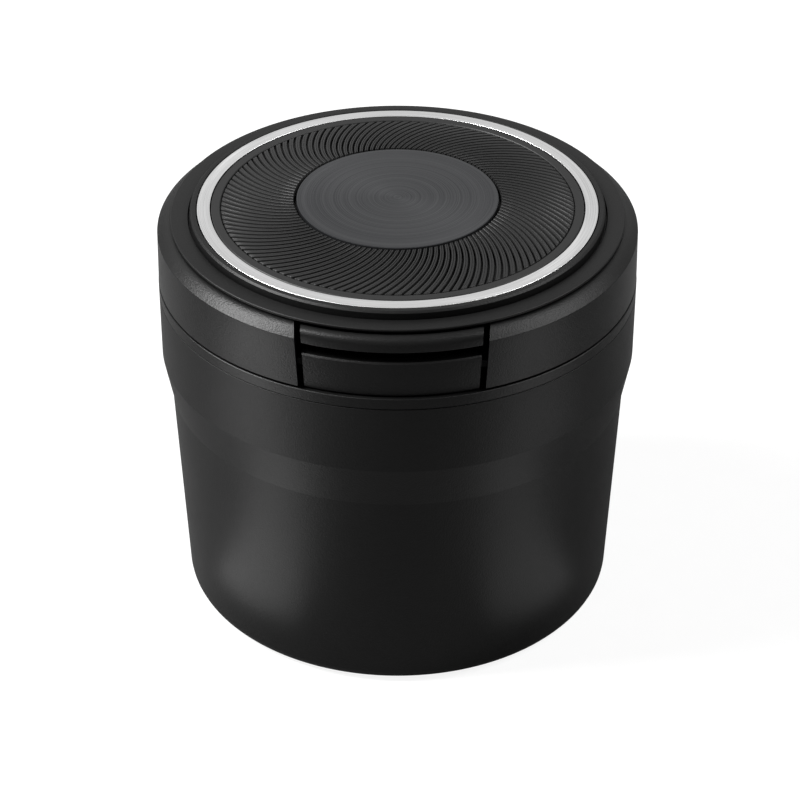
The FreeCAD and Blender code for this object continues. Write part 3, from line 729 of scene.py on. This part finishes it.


# Rib plate
# One moulding inside the bright ring: a flat matte rim and a field of fine curved ribs that rise towards
# the centre disc. The ribs sweep round like a turbine wheel, and painted shade darkens them down into the grooves.

RIB_COUNT = 120
RIB_LEAD_IN = 17.0
RIB_LEAD_OUT = 42.0
RIB_FLOOR = 0.5
GROOVE_SHARE = 0.28
disc_low, disc_high = size("centre_disc")
DISC_R = disc_high.x
RIB_PLATE_R = RING_IN - 0.2
RIM_IN = RIB_PLATE_R - 1.5
RIB_OUT = RIM_IN - 0.12
RIB_IN = DISC_R + 0.4
RIB_RISE = disc_high.z - TOP_Z
FLOOR_Z = TOP_Z - RIB_FLOOR

# Across one pitch: share of the pitch, and how far down from the crest to the floor. A groove lies at
# each end, and a faint line runs along the middle of the crest.
groove = GROOVE_SHARE / 2
RIB_SECTION = [(0, 1), (groove - 0.03, 1), (groove, 0.75), (groove + 0.02, 0.2), (groove + 0.06, 0.06),
               (groove + 0.16, 0.015), (0.43, 0.02), (0.48, 0.11), (0.52, 0.11), (0.57, 0.02),
               (1 - groove - 0.16, 0.015), (1 - groove - 0.06, 0.06),
               (1 - groove - 0.02, 0.2), (1 - groove, 0.75), (1 - groove + 0.03, 1)]


def rib_field():
    """The plate as rings of points, each turned so that the ribs lean more and more towards the rim."""
    seat_z = disc_low.z
    rings = [(0, seat_z, 0), (DISC_R + 0.05, seat_z, 0), (DISC_R + 0.05, FLOOR_Z, 0), (RIB_IN - 0.02, FLOOR_Z, 0),
             (RIB_IN, FLOOR_Z, 0.55), (RIB_IN + 0.05, 0, 0.9)]
    run = RIB_OUT - RIB_IN
    rings += [(RIB_IN + 0.12 + (run - 0.3) * step / 16, 0, 1) for step in range(17)]
    rings += [(RIB_OUT - 0.08, 0, 0.9), (RIB_OUT, FLOOR_Z, 0.4), (RIB_OUT + 0.02, FLOOR_Z, 0), (RIM_IN, FLOOR_Z, 0),
              (RIM_IN, TOP_Z - 0.12, 0), (RIM_IN + 0.12, TOP_Z, 0), (RIB_PLATE_R - 0.12, TOP_Z, 0),
              (RIB_PLATE_R, TOP_Z - 0.12, 0), (RIB_PLATE_R, RECESS_Z, 0), (0, RECESS_Z, 0)]
    across = len(RIB_SECTION)
    steps = RIB_COUNT * across
    first_twist = math.tan(math.radians(RIB_LEAD_IN))
    last_twist = math.tan(math.radians(RIB_LEAD_OUT))
    whole = math.log(RIB_OUT / RIB_IN)
    corners, loops, faces = [], [], []
    for radius, height, ribbed in rings:
        first = len(corners)
        if radius == 0:
            corners.append((0, 0, height))
            loops.append([first] * steps)
            continue
        crest = TOP_Z + RIB_RISE * min(1, (RIB_OUT - radius) / run)
        way = math.log(min(max(radius, RIB_IN), RIB_OUT) / RIB_IN)
        lean = -first_twist * way - (last_twist - first_twist) * way * way / (2 * whole)
        for step in range(steps):
            share, drop = RIB_SECTION[step % across]
            angle = 2 * math.pi * (step // across + share) / RIB_COUNT + lean
            up = height
            if ribbed:
                up = FLOOR_Z + (crest - FLOOR_Z) * (1 - drop) * ribbed
            corners.append((radius * math.cos(angle), radius * math.sin(angle), up))
        loops.append(range(first, first + steps))
    for ring, follower in zip(loops, loops[1:]):
        for step in range(steps):
            after = (step + 1) % steps
            face = list(dict.fromkeys([ring[step], ring[after], follower[after], follower[step]]))
            faces.append(face)
    return corners, faces


material, shader, place = new_material("rib_finish")
fleck = place.noise(4200, 3)
haze = place.noise(120, 3)
x, y, z = place.split()
# Painted shade: this mask goes from 0 at the groove floor to 1 at the crests, so the colour is painted near black
# in the grooves and lighter on the crests.
depth = z.between((FLOOR_Z - 0.05) * MM, (TOP_Z + 0.05) * MM)
rib_finish = dress(material, shader, {
    "Base Color": (depth * (fleck * 0.3 + 0.7)).mix(tone(0.003), tone(0.015)),
    "Specular IOR Level": 0.22,
    "Roughness": 0.48 + (fleck - 0.5) * 0.12 + (haze - 0.5) * 0.1,
    "Normal": place.node("Bump", {}, {"Strength": 0.14, "Distance": 0.00003, "Height": fleck}),
})
piece("swirl_ribs", [rib_field()], rib_finish, "lid", ["rib_plate"])


# Centre disc
# A small disc of dark anodised aluminium, faced on a lathe: the fine turned rings in it are what is left
# of the tool's path. It lies in a seat in the middle of the rib plate.

TURNED_PITCH = 0.36
TURNED_D = 0.012
outline = [(0, disc_low.z), (DISC_R, disc_low.z), (DISC_R, disc_high.z - 0.16), (DISC_R - 0.05, disc_high.z - 0.05),
           (DISC_R - 0.16, disc_high.z)]
rings = int((DISC_R - 0.4) / TURNED_PITCH)
for index in range(rings):
    outer = DISC_R - 0.3 - index * TURNED_PITCH
    for share, drop in ((0, 0), (0.3, 0.5), (0.5, 1), (0.7, 0.5)):
        outline.append((outer - share * TURNED_PITCH, disc_high.z - drop * TURNED_D))
outline.append((0, disc_high.z))

material, shader, place = new_material("disc_metal")
x, y, z = place.split()
radius = x.beside(y)
rings_at = place.node("CombineXYZ", {}, {0: radius * 2800, 1: (x + y) * 12, 2: 0.0})
lathe_marks = rings_at.noise(1.0, 3)
stain = place.noise(110, 3)
disc_metal = dress(material, shader, {
    "Base Color": lathe_marks.between(0.3, 0.7).mix(tone(0.044, 0.045, 0.048), tone(0.070, 0.071, 0.074)),
    "Metallic": 0.85,
    "Anisotropic": 0.4,
    "Roughness": 0.42 + (lathe_marks - 0.5) * 0.12 + (stain - 0.5) * 0.08,
    "Normal": place.node("Bump", {}, {"Strength": 0.12, "Distance": 0.00002, "Height": lathe_marks}),
})
piece("turned_disc", [turned(outline, 256)], disc_metal, "lid", ["centre_disc"])


# Gasket
# A soft silicone ring under the lid base. Its lip closes on the flange of the liner.

gasket_low, gasket_high = size("lid_gasket")
GASKET_R = gasket_high.x
GASKET_IN = GASKET_R - 1.7
LIP_R = (GASKET_R + GASKET_IN) / 2
piece("gasket", [turned(rounded([
    (GASKET_IN, BASE_Z, 0), (GASKET_IN, BASE_Z - 0.5, 0.2), (LIP_R - 0.5, gasket_low.z, 0.3),
    (LIP_R + 0.5, gasket_low.z, 0.3), (GASKET_R, BASE_Z - 0.5, 0.2), (GASKET_R, BASE_Z, 0)]))],
    silicone, "lid", ["lid_gasket"])


# Heat shield
# A pressed aluminium disc under the lid base that keeps hot ash away from the plastic. Two beads stiffen
# it, and it hides the screws.

SHIELD_R = shield_high.x
foil = brushed_metal("shield_metal", (0.62, 0.62, 0.62), 0.32, 4600)
outline = [(0, BASE_Z - 0.02), (SHIELD_R, BASE_Z - 0.02), (SHIELD_R, shield_low.z + 0.15),
           (SHIELD_R - 0.15, shield_low.z)]
for bead in (SHIELD_R - 3.5, SHIELD_R - 16):
    for step in range(9):
        turn = math.pi * step / 8
        outline.append((bead + 0.9 * math.cos(turn), shield_low.z + 0.3 * math.sin(turn)))
outline.append((0, shield_low.z))
piece("shield", [turned(outline)], foil, "lid", ["heat_shield"])


# Lid screws
# Zinc-plated steel screws, driven through the base into the cover before the shield goes on.

screw_steel = brushed_metal("screw_steel", (0.42, 0.42, 0.43), 0.32, 5000, round_the_axis=False)
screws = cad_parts["lid_screws"]
screws.data.materials.clear()
screws.data.materials.append(screw_steel)


# Push button
# The button at the front slides straight back under the tongue. Its face follows the skirt and has a
# bevel along the top; a catch bar behind it holds the lid's tab, and hooks keep it in the head.

button_low, button_high = size("push_button")
BUTTON_HALF = FRONT_HALF - FOOT_LEAN
BUTTON_Z = button_low.z
BUTTON_TOP = button_high.z
BUTTON_R = TONGUE_R
BUTTON_IN = BUTTON_R - FACE_T
BUTTON_BEVEL = 0.26
BAR_FRONT = TAB_BACK + 0.6 + GAP
BAR_BACK = BAR_FRONT + 0.8
BAR_Z = TAB_LOW + 1.2
SPRING_Z = DECK_Z + GAP + 1.3
ROOF_Z = SPRING_Z + 1.4
WINDOW_HALF = TAB_HALF + GAP
BUTTON_FLOOR = DECK_Z + GAP
WALL_IN = BUTTON_HALF - 1.4
SEAT_FRONT = -math.sqrt(BUTTON_IN ** 2 - SEAT_X ** 2) + 0.4
HOOK_END = BUTTON_HALF + 2.4
HOOK_H = 1.2
HOOK_Y = -math.sqrt((SKIRT_IN - 0.4) ** 2 - HOOK_END ** 2)
BEHIND_FACE = BUTTON_IN + 0.7


def behind_face(x):
    """How far forward a part of the button may reach at this x, so that it ends inside the face."""
    return -math.sqrt(BEHIND_FACE ** 2 - x ** 2)


def front_edge(low, high, steps=16):
    """Points along the back of the face between two places across it."""
    places = [low + (high - low) * step / steps for step in range(steps + 1)]
    return [(x, behind_face(x)) for x in places]


face = rounded([
    (BUTTON_IN, BUTTON_Z, 0.1), (BUTTON_R, BUTTON_Z, 0.12), (BUTTON_R, BUTTON_TOP - BUTTON_BEVEL, 0.05),
    (BUTTON_R - BUTTON_BEVEL, BUTTON_TOP, 0.05), (BUTTON_IN, BUTTON_TOP, 0.1)], 3)
roof = front_edge(WINDOW_HALF, BUTTON_HALF - 0.02) + [(BUTTON_HALF - 0.02, BAR_BACK), (WINDOW_HALF, BAR_BACK)]
web = front_edge(WALL_IN, BUTTON_HALF - 0.02, 4) + [(BUTTON_HALF - 0.02, HOOK_Y + 1), (WALL_IN, HOOK_Y + 1)]
spring_seat = front_edge(SEAT_X - SEAT_HALF, SEAT_X + SEAT_HALF, 6)
spring_seat += [(SEAT_X + SEAT_HALF, SEAT_FRONT), (SEAT_X - SEAT_HALF, SEAT_FRONT)]

piece("button", [
    swept(face, at_front(-FRONT_HALF), at_front(FRONT_HALF), 60),
    *both_sides(layer(roof, (ROOF_Z, BUTTON_TOP - 0.05)), layer(web, (BUTTON_FLOOR, ROOF_Z + 0.2)),
                layer(spring_seat, (BUTTON_FLOOR, ROOF_Z + 0.2)),
                block((WALL_IN, HOOK_END), (HOOK_Y, HOOK_Y + 1), (BUTTON_FLOOR, BUTTON_FLOOR + HOOK_H))),
    block((-WINDOW_HALF - 0.1, WINDOW_HALF + 0.1), (BAR_FRONT, BAR_BACK), (BAR_Z, BUTTON_TOP - 0.05)),
], head_plastic, "button", ["push_button"], edge=0.1)


# Button springs
# Two small coil springs between the head's neck and the button push it out again.

BUTTON_TURNS = 5
BUTTON_WIRE_R = 0.2
STEPS_A_TURN = 28
for name, node in (("left_coil", "button_spring_left"), ("right_coil", "button_spring_right")):
    low, high = size(node)
    middle = (low + high) / 2
    radius = (high.x - low.x) / 2 - BUTTON_WIRE_R
    length = high.y - low.y - 2 * BUTTON_WIRE_R
    path = []
    for step in range(BUTTON_TURNS * STEPS_A_TURN + 1):
        turn = 2 * math.pi * step / STEPS_A_TURN
        path.append(Vector((middle.x + radius * math.cos(turn),
                            low.y + BUTTON_WIRE_R + length * step / (BUTTON_TURNS * STEPS_A_TURN),
                            middle.z + radius * math.sin(turn))))
    made = piece(name, [wire(path, BUTTON_WIRE_R, 10)], drawn_wire, "cup", [node])
    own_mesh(made)


# Studio
# A floor that looks white from the camera, soft lamps at the left, right and back, two lit cards low down
# on each side of the cup, and the camera where the photograph was taken.

FLOOR_SIDE = 3.0
CAMERA_RAY = 0
GLOSSY_RAY = 3
TRANSMISSION_RAY = 6


def seen_by(tree, camera, glossy, transmission):
    """A strength for each of the three kinds of ray that can show a backdrop, and 0 for the rest."""
    rays = Shade(tree, None)
    kinds = {CAMERA_RAY: camera, GLOSSY_RAY: glossy, TRANSMISSION_RAY: transmission}
    return sum(rays.node("LightPath", {}, {}, output=kind) * strength for kind, strength in kinds.items())


form = bmesh.new()
bmesh.ops.create_grid(form, x_segments=8, y_segments=8, size=FLOOR_SIDE)
floor_mesh = bpy.data.meshes.new("floor")
form.to_mesh(floor_mesh)
form.free()
floor = bpy.data.objects.new("floor", floor_mesh)
bpy.context.scene.collection.objects.link(floor)
material, shader, place = new_material("floor_paper")
dress(material, shader, {
    "Base Color": place.noise(240, 4).mix(tone(0.16), tone(0.20)),
    "Roughness": 0.9,
    "Specular IOR Level": 0.1,
    "Emission Color": tone(1.0),
    "Emission Strength": seen_by(material.node_tree, camera=0.88, glossy=0.06, transmission=0.88),
})
floor_mesh.materials.append(material)

world = bpy.data.worlds.new("studio")
bpy.context.scene.world = world
world.use_nodes = True
backdrop = world.node_tree.nodes["Background"]
backdrop.inputs["Color"].default_value = tone(1.0)
strength = seen_by(world.node_tree, camera=1.0, glossy=0.40, transmission=1.0)
world.node_tree.links.new(strength.socket, backdrop.inputs["Strength"])


def lamp(name, place, aim, width, height, power):
    """A soft rectangular lamp that points at a place."""
    light = bpy.data.lights.new(name, "AREA")
    light.shape = "RECTANGLE"
    light.size, light.size_y, light.energy = width, height, power
    made = bpy.data.objects.new(name, light)
    bpy.context.scene.collection.objects.link(made)
    made.location = place
    made.rotation_euler = (Vector(aim) - Vector(place)).to_track_quat("-Z", "Y").to_euler()
    made.visible_camera = False


lamp("left_lamp", (-0.42, -0.04, 0.48), (0, 0, 0.05), 0.23, 0.34, 8.4)
lamp("right_lamp", (0.42, -0.02, 0.48), (0, 0, 0.05), 0.31, 0.34, 2.3)
lamp("back_lamp", (0.0, 0.80, 0.55), (0, 0, 0.05), 1.7, 0.9, 1.3)
lamp("left_card", (-0.1484, -0.0927, 0.005), (-0.1314, -0.0821, 1.0), 0.062, 0.16, 0.120)
lamp("left_near_card", (-0.0483, -0.0450, 0.005), (-0.0336, -0.0314, 1.0), 0.026, 0.050, 0.0070)
lamp("right_card", (0.1484, -0.0927, 0.005), (0.1314, -0.0821, 1.0), 0.062, 0.16, 0.050)
lamp("right_near_card", (0.0483, -0.0450, 0.005), (0.0336, -0.0314, 1.0), 0.026, 0.050, 0.0030)

CAMERA_BACK = 0.3868
CAMERA_UP = 0.2171
CAMERA_PITCH = 33.51
CAMERA_TURN = math.radians(1.4)
FOCAL_PIXELS = 2678
PIXELS = 800
SENSOR = 36.0
camera_data = bpy.data.cameras.new("camera")
camera_data.sensor_width = SENSOR
camera_data.lens = SENSOR * FOCAL_PIXELS / PIXELS
camera_data.shift_x = 0.003
camera = bpy.data.objects.new("camera", camera_data)
bpy.context.scene.collection.objects.link(camera)
camera.location = (CAMERA_BACK * math.sin(CAMERA_TURN), -CAMERA_BACK * math.cos(CAMERA_TURN),
                   TOP_Z * MM + CAMERA_UP)
camera.rotation_euler = (math.radians(90 - CAMERA_PITCH), 0, CAMERA_TURN)
bpy.context.scene.camera = camera
bpy.context.scene.view_settings.view_transform = "Standard"
